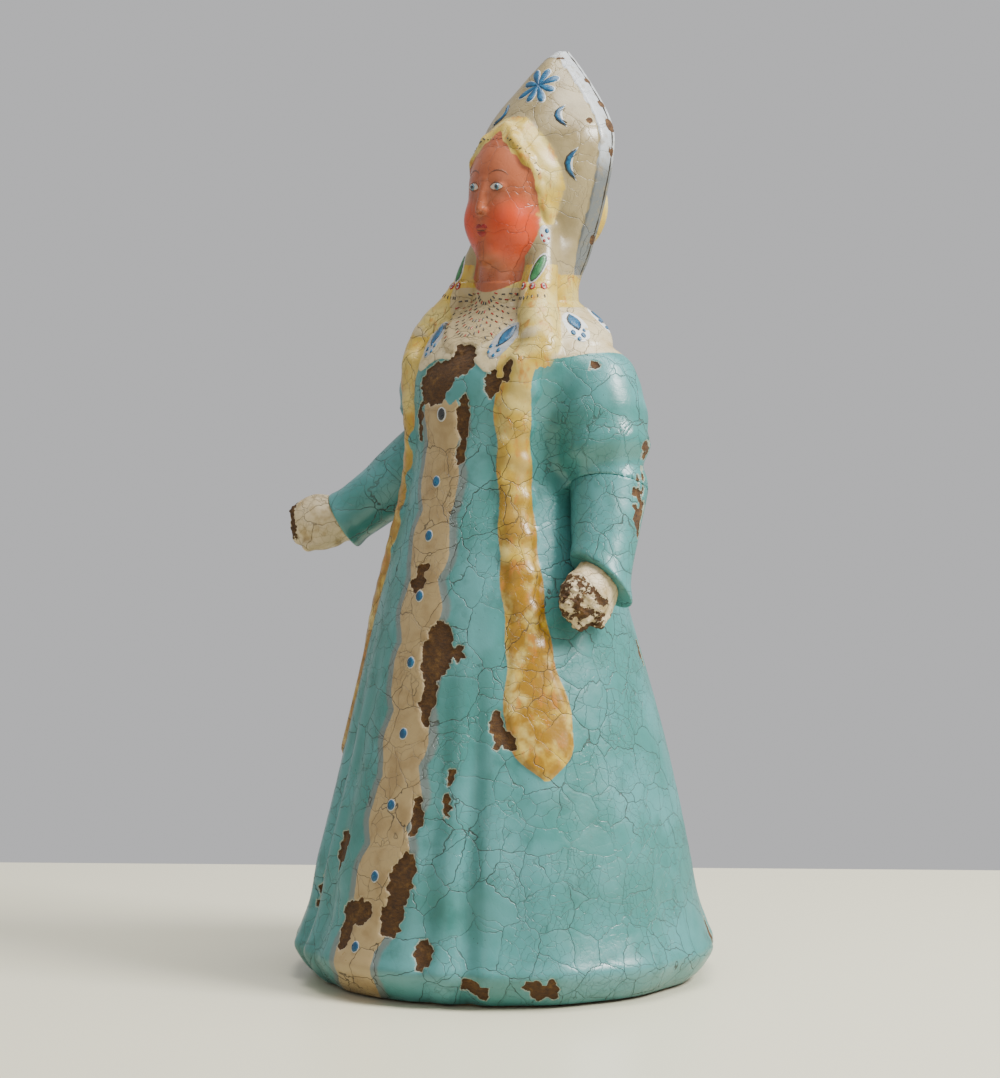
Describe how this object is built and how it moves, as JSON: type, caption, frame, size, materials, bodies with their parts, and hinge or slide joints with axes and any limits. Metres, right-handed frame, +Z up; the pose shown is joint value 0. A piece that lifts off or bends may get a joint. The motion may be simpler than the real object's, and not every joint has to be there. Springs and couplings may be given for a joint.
{
  "type": "papier-mache figure",
  "caption": "Hollow papier-mache figure of a maiden in a long flared gown, pointed headdress and braids, that stands on its closed base.",
  "frame": {"origin": "centre of the base disc's flat underside, where the figure rests", "axes": "+Z up through the headdress, the face and the gown's front trim look along -Y, and the figure's own left hand is at +X"},
  "size_m": [0.2093, 0.1944, 0.4215],
  "materials": {
    "gown_enamel": "turquoise satin enamel over papier-mache, crazed and chipped",
    "headdress_enamel": "cream satin enamel over papier-mache, cracked",
    "hair_enamel": "yellow satin enamel over papier-mache",
    "skin_enamel": "pink satin enamel with rouged cheeks",
    "ornament_enamel": "raised dabs of satin enamel in blue, red, green and white",
    "hand_gesso": "matte cream gesso worn through to brown pulp",
    "rolled_card": "matte rolled card",
    "glued_paper": "matte glued paper",
    "base_card": "matte pressed board",
    "tack_steel": "dull steel"
  },
  "bodies": {
    "root": {"body_front_shell": "gown_enamel", "body_back_shell": "gown_enamel", "head_front_shell": "headdress_enamel", "head_back_shell": "hair_enamel", "neck_tube": "rolled_card", "left_forearm": "gown_enamel", "right_forearm": "gown_enamel", "left_hand": "hand_gesso", "right_hand": "hand_gesso", "left_seam_strip": "glued_paper", "right_seam_strip": "glued_paper", "base_disc": "base_card", "base_tack_1": "tack_steel", "base_tack_2": "tack_steel", "base_tack_3": "tack_steel", "base_tack_4": "tack_steel", "base_tack_5": "tack_steel", "base_tack_6": "tack_steel", "base_tack_7": "tack_steel", "base_tack_8": "tack_steel"}
  },
  "joints": []
}
